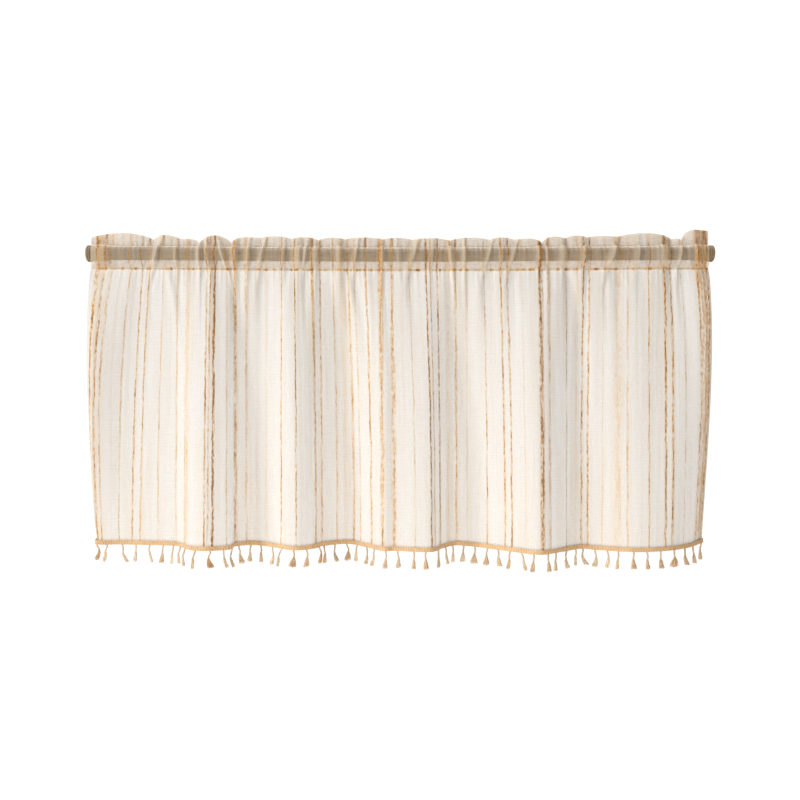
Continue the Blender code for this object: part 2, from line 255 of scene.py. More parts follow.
# Cloth: one length of sheer cream voile, slub yarns in its warp. Its top is turned over the rod
# to the back and sewn through above and below it, which leaves a ruffle over the pocket. Pushed
# together on the rod it gathers into small pleats, and falls from them in broad folds.
CLOTH_FLAT = (1.0, 0.494)
CLOTH_COLUMNS = 900
SEAM_HALF = 0.001              # from a seam's middle to each layer's own middle
POCKET_SEAM_DROP = 0.0205      # under the rod's axis
HEADING_SEAM_RATIO = 1.12      # height of the upper seam over the axis, in pocket radii
HEADING_SWELL = 0.0014         # how far each layer of the ruffle stands off its middle
ON_TUBE = 0.0101               # the cloth's distance from the rod's axis, on the tube
ON_SLEEVE = 0.0117             # and where a cap's sleeve is under it
SLEEVE_CLEARANCE = 0.003
SLEEVE_EASE = 0.012
GATHER_BIAS = 0.0022           # how far the seams are drawn back between puffs
GATHER_SWING = 0.6             # share of a puff that carries both layers forward at a seam
HEM_BAND = 0.009               # the turned hem, which hangs plumb
FOLD_OPENING = 1.9             # a fold opens, to the front and sideways, faster than it falls
GATHER_FADE = 3
DROP_ROWS = 44
ROW_CROWDING = 1.15            # over 1, so the rows lie closer together under the seam
ROWS_A_STEP = 4                # rows of cloth between two rows of the pocket's section
STATION_STEPS = 4001           # places at which the hem's run is measured

# The pocket's section: the directions from the axis of its rows round the rod, in degrees,
# and of the ruffle's rows, in shares of its height.
ROD_STEPS = (-25, 15, 50)
RUFFLE_STEPS = (0.35, 0.75)
# Under the rod, before and behind: the section's depth, in radii and in puffs, and its drop, in
# radii.
UNDER_FRONT = (0.66, 0.55, 1.2)
UNDER_BACK = (0.72, 0.25, 1.15)
# How much of a puff carries the front and the back layer off the rod.
FRONT_PUFF = 0.4
BACK_PUFF = 0.3
# How much of a pleat's height shows: in front of the rod, behind it, at the seams, at the
# ruffle's top edge, and how much of it is lost on the way up the ruffle.
FRONT_GAIN = 1.0
BACK_GAIN = 0.45
SEAM_GAIN = 0.8
TOP_GAIN = 0.5
RUFFLE_LOSS = 0.25

# The hanging folds, left to right, in millimetres. pocket_x and hem_x are places along the rod
# at the seam and at the hem, depth is how far the hem stands to the front, and drop is the
# hem's distance under the rod's axis.
FOLD_COLUMNS = ("pocket_x", "hem_x", "depth", "drop")
FOLDS = (
    (7.7, 5.0, -16.0, 399.4), (27.0, 10.5, -6.5, 402.0), (60.9, 41.5, -9.5, 402.5),
    (87.6, 71.8, -9.0, 403.0), (109.0, 99.0, -8.0, 403.3), (125.7, 122.0, -4.5, 403.5),
    (135.0, 133.0, 5.0, 403.7), (143.6, 144.0, 17.5, 404.0), (164.8, 165.5, 26.0, 404.0),
    (184.1, 186.0, 20.0, 404.4), (196.3, 199.0, 13.5, 404.5), (203.1, 202.0, -6.0, 404.5),
    (230.1, 227.0, -15.5, 404.8), (258.2, 256.5, -3.0, 405.0), (282.5, 286.0, 15.0, 405.4),
    (305.7, 312.0, 2.5, 405.7), (320.0, 322.0, -13.5, 405.7), (350.7, 357.0, -29.0, 406.0),
    (376.5, 386.0, -7.5, 406.2), (404.0, 408.0, 15.0, 406.4), (419.2, 424.0, 13.5, 406.4),
    (447.5, 457.5, 19.5, 406.6), (467.7, 475.5, 17.5, 406.7), (484.6, 488.5, -4.0, 406.8),
    (505.2, 508.0, -23.5, 406.9), (529.8, 534.5, -15.5, 406.9), (569.0, 575.0, 10.0, 407.0),
    (616.0, 615.5, 34.0, 407.1), (647.2, 645.0, 20.5, 407.1), (681.4, 679.5, -3.0, 407.1),
    (702.8, 700.0, 4.0, 407.0), (754.0, 749.5, 19.0, 406.9), (795.5, 795.0, 12.0, 406.7),
    (824.0, 832.0, -8.0, 406.2), (853.6, 857.0, -27.0, 403.2),
)

# The side edges bow out and forward, most a little above mid drop: how far out, how much more
# of it forward, how early (under 1 is higher up), and the width of cloth where it dies away.
SIDE_BOW = 0.0046
BOW_FORWARD = 3.8
BOW_EARLY = 0.7
BOW_REACH = 0.075
# Away from the rod the side edges also flare a little: how far left and right, the width of cloth
# that takes part, and how fast the flare is lost under the seam.
EDGE_FLARE = (0.0034, 0.0024)
FLARE_REACH = 0.03
FLARE_FADE = 6
# The braid's turned end draws the hem's left corner in: how far, over what width, and how
# steeply towards the hem.
CORNER_TUCK = 0.0042
TUCK_REACH = 0.024
TUCK_FALL = 14

# The ruffle's outline, in millimetres: where each pinch sits on the rod, how high the top edge
# is there and midway to the next one, and how far the cloth puffs out between the two.
GATHER_COLUMNS = ("x", "pinch_top", "crown_top", "puff")
GATHERS = (
    (5.8, 21.0, 28.5, 4.5), (90.6, 19.0, 26.0, 4.0), (124.8, 22.0, 21.0, 3.0),
    (153.7, 15.0, 26.0, 4.5), (197.4, 16.0, 24.0, 4.0), (241.1, 24.0, 25.5, 3.5),
    (279.9, 22.0, 24.5, 3.5), (318.2, 20.0, 24.0, 4.0), (355.5, 22.0, 24.5, 4.0),
    (407.1, 22.0, 24.0, 4.0), (446.9, 21.5, 23.5, 3.5), (499.6, 20.0, 24.0, 4.0),
    (555.2, 21.0, 24.0, 4.0), (588.1, 21.0, 22.5, 3.5), (626.8, 16.0, 25.0, 4.0),
    (659.6, 22.0, 26.0, 4.0), (688.4, 23.0, 25.0, 4.0), (732.2, 24.0, 28.5, 4.5),
    (805.2, 20.0, 21.0, 2.5), (818.7, 19.0, 33.0, 4.0), (854.9, 32.5, 32.5, 0.0),
)
PINCH_SHARPNESS = 0.7          # under 1, so a pinch is a crease and a puff is round

# The small pleats over the rod, in millimetres: place on the rod, lean from the pocket's seam up
# to the ruffle's top, width, how far it stands out, and how far it runs on under the seam.
PLEATS = (
    (97.7, 12.4, 5.5, 3.2, 60.0), (124.4, 0.0, 4.0, 2.6, 45.0), (155.7, 1.0, 4.5, 4.6, 90.0),
    (165.9, -4.0, 5.5, 3.6, 70.0), (186.4, -14.0, 4.5, 3.6, 80.0), (205.5, 1.0, 8.0, 3.6, 70.0),
    (223.3, 4.0, 4.5, 3.2, 55.0), (242.1, 9.0, 4.5, 3.2, 60.0), (271.8, 3.0, 5.0, 1.6, 30.0),
    (292.8, 0.0, 9.0, 3.6, 70.0), (302.0, 7.0, 4.5, 3.2, 55.0), (317.1, 4.0, 8.5, 3.8, 80.0),
    (348.9, 0.0, 8.0, 3.6, 70.0), (370.7, 7.0, 4.5, 2.6, 50.0), (407.1, 1.0, 4.8, 4.6, 90.0),
    (428.0, -3.0, 5.0, 1.6, 40.0), (450.5, 14.0, 6.5, 2.8, 60.0), (475.5, 4.0, 5.0, 1.8, 40.0),
    (499.6, -5.5, 6.0, 4.6, 90.0), (520.0, 0.0, 4.5, 3.2, 60.0), (553.6, 12.4, 4.8, 3.2, 60.0),
    (571.4, 2.0, 5.0, 1.6, 40.0), (587.7, 14.0, 4.8, 2.8, 55.0), (621.9, 1.0, 5.5, 3.8, 75.0),
    (631.3, -2.0, 4.0, 3.0, 50.0), (656.5, 1.0, 8.0, 3.6, 70.0), (685.2, 2.0, 6.5, 3.6, 70.0),
    (724.7, 16.5, 7.0, 3.6, 70.0), (758.4, 3.0, 6.0, 2.0, 45.0), (795.0, 1.0, 15.0, 3.8, 100.0),
    (816.3, 8.0, 4.8, 3.8, 70.0), (836.5, -3.0, 5.0, 2.0, 40.0),
)
PLEAT_RISE = 0.045             # the height over which a pleat's lean is given
PLEAT_SPREAD = 0.05            # how far under the seam a pleat has doubled in width
EASY_FLANK = 2.1               # a pleat's easy flank, against half its width
STEEP_FLANK = 0.8              # and its steep one
CREST_SHARPNESS = 1.4
TAIL_FALL = 1.3
FULL_PLEAT = 3.2               # a pleat that stands out this far is cloth folded double

# The creases that start under the pocket, in millimetres: place on the rod, how far they run
# sideways in the first 100 of their fall, width, how far they stand out or in, and length.
CREASES = (
    (95.4, -8.0, 6.0, 2.0, 110.0), (110.1, 17.0, 5.0, 3.0, 150.0), (154.0, -11.0, 6.0, -1.8, 60.0),
    (155.5, 9.0, 6.0, 2.0, 120.0), (281.7, -12.0, 7.0, 2.0, 130.0), (298.9, 0.0, 6.0, -1.8, 80.0),
    (311.3, 7.0, 6.0, 2.0, 120.0), (331.3, 11.0, 7.0, -2.0, 130.0), (354.8, 13.5, 6.0, 2.2, 150.0),
    (365.8, 12.5, 6.0, -2.0, 150.0), (385.9, 0.0, 7.0, 2.0, 130.0), (400.3, 4.5, 6.0, -1.8, 110.0),
    (488.7, -2.5, 7.0, 2.2, 160.0), (506.6, -2.5, 6.0, -2.0, 120.0), (537.8, 0.0, 7.0, 1.8, 120.0),
    (584.3, 0.0, 7.0, -1.8, 120.0), (629.4, -4.5, 7.0, 2.2, 150.0), (662.5, 16.0, 7.0, -2.6, 160.0),
    (690.1, 1.5, 6.0, 2.2, 150.0), (718.4, 4.5, 6.0, 2.0, 130.0), (765.0, 3.0, 8.0, -1.6, 100.0),
    (60.0, -5.0, 9.0, 1.4, 120.0), (225.0, -4.0, 8.0, 1.8, 110.0), (250.0, 3.0, 8.0, -1.6, 120.0),
)
CREASE_START = 0.014           # how far under the seam a crease reaches its full height
CREASE_BEND = 0.08             # the fall over which a crease makes most of its sideways run
CREASE_RUN = 1.4               # its whole run, against the run in the table
CREASE_WIDTH = 0.75            # its width at the seam, against the width in the table
CREASE_SPREAD = 0.16           # how far it falls before that has grown by the table's width

# The puckers that the stitching draws up along both seams: how high, how far they reach, and
# their two ripples, each with its share, its step along the rod, and how much and how often
# that step wanders.
PUCKER = 0.00042
PUCKER_REACH = 0.008
PUCKER_HANG = 0.45             # under the lower seam, a distance counts for this share of it
RIPPLES = ((1.0, 0.0073, 1.7, 0.061), (0.6, 0.0047, 2.1, 0.043))


def column(table, names, name):
    """One named column of a table, in its own units."""
    return np.array([row[names.index(name)] for row in table])


def through_stations(values, station):
    """Smooth curve through evenly numbered stations (Catmull-Rom), read at fractional numbers."""
    last = len(values) - 1
    padded = np.concatenate(([2 * values[0] - values[1]], values,
                             [2 * values[last] - values[last - 1]]))
    low = np.clip(np.floor(station).astype(int), 0, last - 1)
    t = (station - low).reshape((-1,) + (1,) * (np.ndim(values) - 1))
    before, here, after, beyond = (padded[low + step] for step in range(4))
    return ((2 * t**3 - 3 * t**2 + 1) * here + (t**3 - 2 * t**2 + t) * (after - before) / 2
            + (3 * t**2 - 2 * t**3) * after + (t**3 - t**2) * (beyond - here) / 2)


def cloth_stations(count):
    """Station numbers of the cloth's columns, evenly spaced along the flat hem."""
    fine = np.linspace(0, len(FOLDS) - 1, STATION_STEPS)
    hem_x = through_stations(column(FOLDS, FOLD_COLUMNS, "hem_x"), fine)
    depth = through_stations(column(FOLDS, FOLD_COLUMNS, "depth"), fine)
    run = np.concatenate(([0.0], np.cumsum(np.hypot(np.diff(hem_x), np.diff(depth)))))
    return np.interp(np.linspace(0, run[-1], count), run, fine)


def pocket_radius(x):
    """Cloth to the rod's axis: close on the tube, wider over the cap sleeves."""
    from_end = np.minimum(x, ROD_LENGTH - x)
    ease = np.clip((from_end - CAP_LENGTH - SLEEVE_CLEARANCE) / SLEEVE_EASE, 0.0, 1.0)
    return ON_SLEEVE + (ON_TUBE - ON_SLEEVE) * (3 * ease**2 - 2 * ease**3)


def gather_shape(x):
    """Height of the ruffle's top and outward puff of the cloth at places x along the rod."""
    pinch_x, pinch_top, crown_top, puff = (
        column(GATHERS, GATHER_COLUMNS, name) * MM for name in GATHER_COLUMNS)
    index = np.clip(np.searchsorted(pinch_x, x, side="right") - 1, 0, len(GATHERS) - 2)
    t = np.clip((x - pinch_x[index]) / (pinch_x[index + 1] - pinch_x[index]), 0.0, 1.0)
    rise = np.sin(math.pi * t) ** PINCH_SHARPNESS
    level = pinch_top[index] + (pinch_top[index + 1] - pinch_top[index]) * t
    return level + (crown_top[index] - level) * rise, puff[index] * rise


def pleat_relief(x, height):
    """Stand-out of the small pleats over a grid of places: each a ridge with a round crest.

    A ridge follows its leaning line, with a steep flank on the side it leans to and an easy one
    behind. It keeps its width down to the pocket's seam, and widens and dies away under it. The
    second array is the share of cloth folded together, 0 to 1."""
    under = np.maximum(-POCKET_SEAM_DROP - height, 0.0)
    stands, folded = np.zeros(x.shape), np.zeros(x.shape)
    for place, lean, width, out, tail in np.array(PLEATS) * MM:
        middle = place + lean * np.maximum(height, -PLEAT_RISE) / PLEAT_RISE
        ahead = (x - middle) * (1 if lean >= 0 else -1) > 0
        flank = np.where(ahead, STEEP_FLANK, EASY_FLANK)
        reach = width / 2 * (1 + under / PLEAT_SPREAD) * flank
        crest = np.exp(-CREST_SHARPNESS * ((x - middle) / reach) ** 2)
        fade = np.exp(-((under / tail) ** TAIL_FALL))
        stands = np.maximum(stands, out * crest * fade)
        folded = np.maximum(folded, crest * fade * min(1.0, out / (FULL_PLEAT * MM)))
    return stands, folded


def crease_relief(x, height):
    """Stand-out of the creases: soft ridges and troughs that grow in under the seam and fade."""
    under = np.maximum(-POCKET_SEAM_DROP - height, 0.0)
    stands = np.zeros(x.shape)
    for place, run, width, out, length in np.array(CREASES) * MM:
        middle = place + run * (1 - np.exp(-under / CREASE_BEND)) * CREASE_RUN
        reach = width * (CREASE_WIDTH + under / CREASE_SPREAD)
        envelope = np.clip(under / CREASE_START, 0.0, 1.0) * np.exp(-((under / length) ** 2))
        stands = stands + out * envelope * np.exp(-(((x - middle) / reach) ** 2))
    return stands


def pucker_relief(x, height, heading):
    """Stand-out of the puckers: two ripples along the rod, uneven in step, that die away from
    the pocket's two seams."""
    turns = 2 * math.pi * x
    ripple = sum(share * np.sin(turns / step + wander * np.sin(turns / wander_step))
                 for share, step, wander, wander_step in RIPPLES)
    slower = np.where(height < -POCKET_SEAM_DROP, PUCKER_HANG, 1.0)
    from_seam = np.minimum(np.abs(height + POCKET_SEAM_DROP) * slower, np.abs(height - heading))
    return PUCKER * ripple * np.exp(-from_seam / PUCKER_REACH)


def edge_share(distance, reach):
    """How much cloth at a distance from a side edge shares in what the edge does, 1 to 0."""
    return np.clip(1 - (distance / reach) ** 2, 0.0, 1.0) ** 2


def cloth_sheet():
    """Points of the cloth, from the back layer's seam over the ruffle's top down to the hem.

    The section is a chain of control rows, each with a direction and a gain for the small
    pleats. A smooth curve goes through the rows round the rod and up the ruffle; under the seam
    each row is worked out from how far it has fallen."""
    station = cloth_stations(CLOTH_COLUMNS)
    pocket_x, hem_x, hem_depth, hem_drop = (
        through_stations(column(FOLDS, FOLD_COLUMNS, name), station) * MM
        for name in FOLD_COLUMNS)
    axis = rod_axis(pocket_x)
    radius = pocket_radius(pocket_x)
    top, puff = gather_shape(pocket_x)
    middle = GATHER_SWING * puff - GATHER_BIAS
    heading = radius * HEADING_SEAM_RATIO
    low_seam = np.full(CLOTH_COLUMNS, -POCKET_SEAM_DROP)
    rows, ways = [], []

    def add(depth, height, gain, turn=0.0):
        rows.append(np.stack([depth, axis + height], axis=1))
        ways.append((gain * math.cos(turn), gain * math.sin(turn)))

    def seam(side, height):
        add(middle + side * SEAM_HALF, height, SEAM_GAIN)

    def under_rod(side, shape, gain, turn):
        radii, puffs, drop = shape
        add(side * (radii * radius + puffs * puff), -drop * radius, gain, turn)

    def round_rod(side, degrees):
        turn = math.radians(degrees)
        reach = radius + (FRONT_PUFF if side > 0 else BACK_PUFF) * puff
        add(side * reach * math.cos(turn), reach * math.sin(turn),
            FRONT_GAIN if side > 0 else BACK_GAIN, turn if side > 0 else math.pi - turn)

    def ruffle(side, step):
        swell = SEAM_HALF + HEADING_SWELL * math.sin(math.pi * step) ** 0.5
        add(middle + side * swell, heading + (top - heading) * step,
            SEAM_GAIN - RUFFLE_LOSS * step)

    seam(-1, low_seam)
    under_rod(-1, UNDER_BACK, BACK_GAIN, math.pi)
    for degrees in ROD_STEPS:
        round_rod(-1, degrees)
    seam(-1, heading)
    for step in RUFFLE_STEPS:
        ruffle(-1, step)
    add(middle, top, TOP_GAIN)
    for step in RUFFLE_STEPS[::-1]:
        ruffle(1, step)
    seam(1, heading)
    for degrees in ROD_STEPS[::-1]:
        round_rod(1, degrees)
    under_rod(1, UNDER_FRONT, FRONT_GAIN, 0.0)
    seam(1, low_seam)

    step = np.linspace(0, len(rows) - 1, ROWS_A_STEP * (len(rows) - 1) + 1)
    upper = through_stations(np.array(rows), step)
    upper_way = through_stations(np.array(ways), step)
    flare = (EDGE_FLARE[1] * edge_share(pocket_x[-1] - pocket_x, FLARE_REACH)
             - EDGE_FLARE[0] * edge_share(pocket_x - pocket_x[0], FLARE_REACH))
    upper_x = pocket_x + flare * (1 - np.clip(upper[..., 0] / radius, 0.0, 1.0))

    left_share = edge_share(pocket_x - pocket_x[0], BOW_REACH)
    right_share = edge_share(pocket_x[-1] - pocket_x, BOW_REACH)
    fall = (np.arange(1, DROP_ROWS + 1) / DROP_ROWS)[:, None] ** ROW_CROWDING
    bow = SIDE_BOW * np.sin(math.pi * fall**BOW_EARLY)
    seam_z = axis - POCKET_SEAM_DROP
    opened = 1 - (1 - fall) ** FOLD_OPENING
    tuck = CORNER_TUCK * edge_share(pocket_x - pocket_x[0], TUCK_REACH)
    lower_x = (pocket_x + (hem_x - pocket_x) * opened + bow * (right_share - left_share)
               + flare * (1 - fall) ** FLARE_FADE + tuck * fall**TUCK_FALL)
    lower_depth = ((middle + SEAM_HALF) * (1 - fall) ** GATHER_FADE + hem_depth * opened
                   + BOW_FORWARD * bow * (right_share + left_share))
    lower_z = seam_z + (HEM_BAND - hem_drop - seam_z) * fall
    band = np.array([0.5, 1.0])[:, None]
    x = np.concatenate([upper_x, lower_x, np.broadcast_to(hem_x + tuck, (2, CLOTH_COLUMNS))])
    depth = np.concatenate([upper[..., 0], lower_depth,
                            np.broadcast_to(hem_depth, (2, CLOTH_COLUMNS))])
    z = np.concatenate([upper[..., 1], lower_z, HEM_BAND - hem_drop - HEM_BAND * band])

    place = np.broadcast_to(pocket_x, x.shape)
    stands, folded = pleat_relief(place, z - axis)
    stands = stands + crease_relief(place, z - axis) + pucker_relief(place, z - axis, heading)
    way = np.concatenate([upper_way, np.tile((SEAM_GAIN, 0.0), (DROP_ROWS + 2, 1))])
    depth = depth + stands * way[:, :1]
    z = z + stands * way[:, 1:]
    return np.stack([x, -depth, z], axis=-1), folded, len(upper)


# The warp's coloured slub yarns, in millimetres: the middle of each stripe across the flat cloth
# and its width, then its strength from 0 to 1.
STRIPES = (
    (6.2, 2.4, 0.6), (11.5, 13.0, 0.13), (12.5, 1.6, 0.55), (18.4, 1.8, 0.4),
    (41.9, 1.7, 0.4), (59.8, 1.9, 0.6), (71.1, 2.2, 0.5), (95.3, 2.1, 0.35),
    (121.9, 2.3, 0.35), (141.4, 2.6, 0.35),
    (147.5, 9.0, 0.3), (179.2, 2.1, 0.6), (184.0, 2.1, 0.5), (190.6, 3.1, 1.0),
    (209.2, 1.6, 0.3), (235.0, 5.2, 0.5), (251.4, 3.4, 0.35), (281.4, 2.5, 0.15),
    (307.8, 2.2, 0.6), (332.6, 1.9, 0.7), (363.6, 5.0, 0.5), (378.1, 2.6, 0.5),
    (401.8, 2.3, 0.35), (415.3, 8.0, 0.12), (426.8, 4.2, 0.45), (439.2, 2.3, 0.4),
    (461.4, 3.6, 0.55), (483.9, 6.0, 0.5), (501.1, 5.6, 0.45), (529.9, 1.9, 0.35),
    (552.6, 2.3, 0.85), (559.3, 2.4, 0.5), (575.6, 3.6, 0.7), (595.8, 9.0, 0.2),
    (609.6, 2.9, 0.4), (625.8, 3.1, 0.2), (656.1, 2.1, 0.45), (683.3, 2.6, 0.6),
    (693.7, 2.6, 0.6), (714.1, 1.7, 0.2), (737.8, 5.4, 0.7), (749.6, 4.6, 0.35),
    (780.6, 2.1, 0.4), (798.7, 7.5, 0.15), (808.1, 2.5, 0.6), (816.8, 2.8, 0.55),
    (837.0, 1.7, 0.2), (858.0, 10.7, 0.22), (870.6, 2.7, 0.35), (900.2, 2.0, 0.5),
    (924.8, 3.1, 0.7), (935.5, 3.2, 0.6), (956.8, 2.0, 0.4), (982.5, 2.4, 0.6),
    (989.5, 15.0, 0.36), (995.5, 3.0, 0.55),
)
STRIPE_CORE = 0.22             # half the full-strength middle of a stripe, against its width
STRIPE_FOOT = 0.8              # and half the stripe where it has faded out
STRIPES_A_RAMP = 7
RAMP_MARGIN = 0.3              # millimetres of a ramp past its outer stripes
WEAVE_PITCH = 0.0007
SIDE_HEM = 0.011               # the side edges are turned in and sewn
SIDE_COVER = 0.4               # how much of a further layer the turned-in edge amounts to
SEAM_TURNING = 0.0019          # the raw edge turned in behind the pocket's seam, either side
SEAM_DASHES = (3.0, -1.3)      # gain and start of the orange-tan dashes that show along it
HEM_ROW = -3                   # the row of points at the top of the turned hem
HEM_COVER = 0.0055             # how far up its turned layer is dense, behind the braid
BARE_COVER = 0.62              # share of the light that one undyed layer stops
DRAWN_OPEN = 0.15              # less of it where the cloth is drawn over the rod
DOUBLE_TINT = 0.15             # how much deeper the colour looks there, with a layer behind

# Yarn colours, bleached to dyed, where a stripe's strength reaches each.
YARN_COLOURS = (
    (0.0, (0.87, 0.84, 0.785, 1.0)), (0.2, (0.89, 0.75, 0.57, 1.0)),
    (0.5, (0.84, 0.54, 0.26, 1.0)), (0.8, (0.60, 0.31, 0.10, 1.0)),
    (1.0, (0.38, 0.18, 0.055, 1.0)),
)

# What is uneven in the yarns: how often each changes in a metre across the cloth and along it,
# and in how much detail.
UNEVEN = {
    "wander": (14.0, 30.0, 1.0), "jog": (60.0, 190.0, 1.0), "slubs": (1300.0, 75.0, 1.0),
    "knots": (520.0, 170.0, 1.0), "swells": (420.0, 26.0, 0.0), "thin": (170.0, 3.0, 1.0),
    "threads": (820.0, 9.0, 1.0), "picks": (40.0, 900.0, 1.0),
}
WANDER = 0.0022                # how far a stripe strays slowly, and in short jogs
JOG = 0.0016
KNOT_DYE = 3.0                 # how much knots, slubs and swells deepen the dye of a stripe
SLUB_DYE = 1.6
SWELL_DYE = 2.1
DYE_START = -2.4
PALEST = 0.2                   # what is left of a stripe where its yarn is thinnest
STREAK_TINT = 0.7
DYED_COVER = 0.42              # how much more light dyed yarn stops,
UNEVEN_COVER = 0.55            # how much that changes with thick and thin threads,
WEAVE_COVER = 0.09             # and between the threads
FULL_COVER = 0.93
PICKS_SHARE = 0.4
STREAK_MIDDLE = 0.7            # the mean of streaks and picks together
DYED_RELIEF = 1.4              # heights, against the relief's depth
WEAVE_RELIEF = 0.5
STREAK_RELIEF = 0.8
CLOTH_RELIEF = 0.00025
FOLDED_COVER = 0.9             # how much of a further layer a folded pleat amounts to


def stripe_profile(places):
    """Strength of the stripes at places across the cloth, each a rise with a flat middle."""
    across, width, strength = np.array(STRIPES).T[..., None]
    rise = np.clip((STRIPE_FOOT - np.abs(places - across) / width) / (STRIPE_FOOT - STRIPE_CORE),
                   0.0, 1.0)
    return np.max(strength * rise, axis=0)


def stripe_ramps(tree, across):
    """Output of the stripes' strength: a few ramps side by side, each holding some stripes."""
    total = 0.0
    for first in range(0, len(STRIPES), STRIPES_A_RAMP):
        group = STRIPES[first:first + STRIPES_A_RAMP]
        corners = np.sort(np.array(
            [place + width * side for place, width, _ in group
             for side in (-STRIPE_FOOT, -STRIPE_CORE, STRIPE_CORE, STRIPE_FOOT)]))
        low, high = corners[0] - RAMP_MARGIN, corners[-1] + RAMP_MARGIN
        share = put(tree, "ShaderNodeMapRange", {
            "Value": across, "From Min": low * MM, "From Max": high * MM}).outputs[0]
        ramp = put(tree, "ShaderNodeValToRGB", {"Fac": share})
        stops = ramp.color_ramp.elements
        for stop in stops:
            stop.color = (0.0, 0.0, 0.0, 1.0)
        for corner, level in zip(corners, stripe_profile(corners)):
            stops.new((corner - low) / (high - low)).color = (level, level, level, 1.0)
        total = maths(tree, "ADD", total, ramp.outputs[0])
    return total


def uneven(tree, flat, name):
    """Output of a noise over the flat cloth that stands for one unevenness of its yarns."""
    across, along, detail = UNEVEN[name]
    return noise(tree, stretched(tree, flat, (across, along, 1.0)), 1.0, detail)


def astray(tree, across, noise_output, reach):
    """Output of a place across the cloth, moved by a noise about its middle value."""
    return maths(tree, "MULTIPLY_ADD", maths(tree, "SUBTRACT", noise_output, 0.5), reach, across)


def striped_voile(seam_at, hem_at):
    """The cloth's material: sheer where one layer hangs, denser where folded or hemmed.

    seam_at and hem_at are how far the pocket's seam and the hem lie from the back edge."""
    material, tree, shader = start_material("striped_voile")
    flat = put(tree, "ShaderNodeUVMap", uv_map="UVMap").outputs[0]
    place = put(tree, "ShaderNodeSeparateXYZ", {0: flat}).outputs
    across = astray(tree, place[0], uneven(tree, flat, "wander"), WANDER)
    across = astray(tree, across, uneven(tree, flat, "jog"), JOG)
    slub = maths(tree, "MULTIPLY_ADD", uneven(tree, flat, "slubs"), SLUB_DYE, DYE_START)
    slub = maths(tree, "MULTIPLY_ADD", uneven(tree, flat, "knots"), KNOT_DYE, slub)
    slub = maths(tree, "MULTIPLY_ADD", uneven(tree, flat, "swells"), SWELL_DYE, slub)
    stripes = stripe_ramps(tree, across)
    dyed = maths(tree, "MULTIPLY", stripes, maths(tree, "MAXIMUM", slub, PALEST), clamp=True)
    from_seam = maths(tree, "SUBTRACT", place[1], seam_at)
    turned_in = maths(tree, "LESS_THAN", maths(tree, "ABSOLUTE", from_seam), SEAM_TURNING)
    thin = uneven(tree, flat, "thin")
    dashes = maths(tree, "MULTIPLY_ADD", thin, *SEAM_DASHES, clamp=True)
    dyed = maths(tree, "MULTIPLY_ADD", turned_in, dashes, dyed, clamp=True)

    on_rod = maths(tree, "LESS_THAN", place[1], seam_at - SEAM_TURNING)
    threads = uneven(tree, flat, "threads")
    streak = maths(tree, "MULTIPLY_ADD", threads, 0.5, maths(tree, "MULTIPLY", thin, 0.5))
    tint = maths(tree, "SUBTRACT", streak, 0.5, clamp=True)
    tint = maths(tree, "MULTIPLY", tint, STREAK_TINT)
    tint = maths(tree, "MULTIPLY_ADD", on_rod, DOUBLE_TINT, tint)
    colour = put(tree, "ShaderNodeValToRGB", {"Fac": maths(tree, "ADD", dyed, tint, clamp=True)})
    stops = colour.color_ramp.elements
    for number, (stop_place, shade) in enumerate(YARN_COLOURS):
        stop = stops[number] if number < 2 else stops.new(stop_place)
        stop.position, stop.color = stop_place, shade
    tree.links.new(colour.outputs[0], shader.inputs["Base Color"])

    turns = 2 * math.pi / WEAVE_PITCH
    warp = maths(tree, "SINE", maths(tree, "MULTIPLY", across, turns))
    weft = maths(tree, "SINE", maths(tree, "MULTIPLY", place[1], turns))
    weave = maths(tree, "MULTIPLY", maths(tree, "ADD", warp, weft), 0.5)
    one = maths(tree, "MULTIPLY_ADD", on_rod, -DRAWN_OPEN, BARE_COVER)
    one = maths(tree, "MULTIPLY_ADD", dyed, DYED_COVER, one)
    thick = maths(tree, "SUBTRACT", streak, STREAK_MIDDLE)
    thick = maths(tree, "MULTIPLY_ADD", uneven(tree, flat, "picks"), PICKS_SHARE, thick)
    one = maths(tree, "MULTIPLY_ADD", thick, UNEVEN_COVER, one)
    one = maths(tree, "MULTIPLY_ADD", weave, WEAVE_COVER, one, clamp=True)
    one = maths(tree, "MINIMUM", one, FULL_COVER)

    hemmed = maths(tree, "GREATER_THAN", place[1], hem_at - HEM_COVER)
    from_middle = maths(tree, "ABSOLUTE", maths(tree, "SUBTRACT", place[0], CLOTH_FLAT[0] / 2))
    sided = maths(tree, "GREATER_THAN", from_middle, CLOTH_FLAT[0] / 2 - SIDE_HEM)
    layers = put(tree, "ShaderNodeAttribute", attribute_name="layers").outputs["Fac"]
    layers = maths(tree, "ADD", layers, maths(tree, "MULTIPLY_ADD", sided, SIDE_COVER, hemmed))
    layers = maths(tree, "ADD", layers, turned_in)
    bare = maths(tree, "POWER", maths(tree, "SUBTRACT", 1.0, one), layers)
    tree.links.new(maths(tree, "SUBTRACT", 1.0, bare), shader.inputs["Alpha"])

    relief = maths(tree, "MULTIPLY_ADD", dyed, DYED_RELIEF,
                   maths(tree, "MULTIPLY", weave, WEAVE_RELIEF))
    relief = maths(tree, "MULTIPLY_ADD", streak, STREAK_RELIEF, relief)
    emboss(tree, shader, relief, CLOTH_RELIEF, 0.5)
    shader.inputs["Roughness"].default_value = 0.92
    shader.inputs["Specular IOR Level"].default_value = 0.15
    shader.inputs["Sheen Weight"].default_value = 0.25
    return material


def mark(mesh, name, values):
    """Give each point of a mesh a number, which its material reads by the name."""
    mesh.attributes.new(name, "FLOAT", "POINT").data.foreach_set("value", values.ravel())


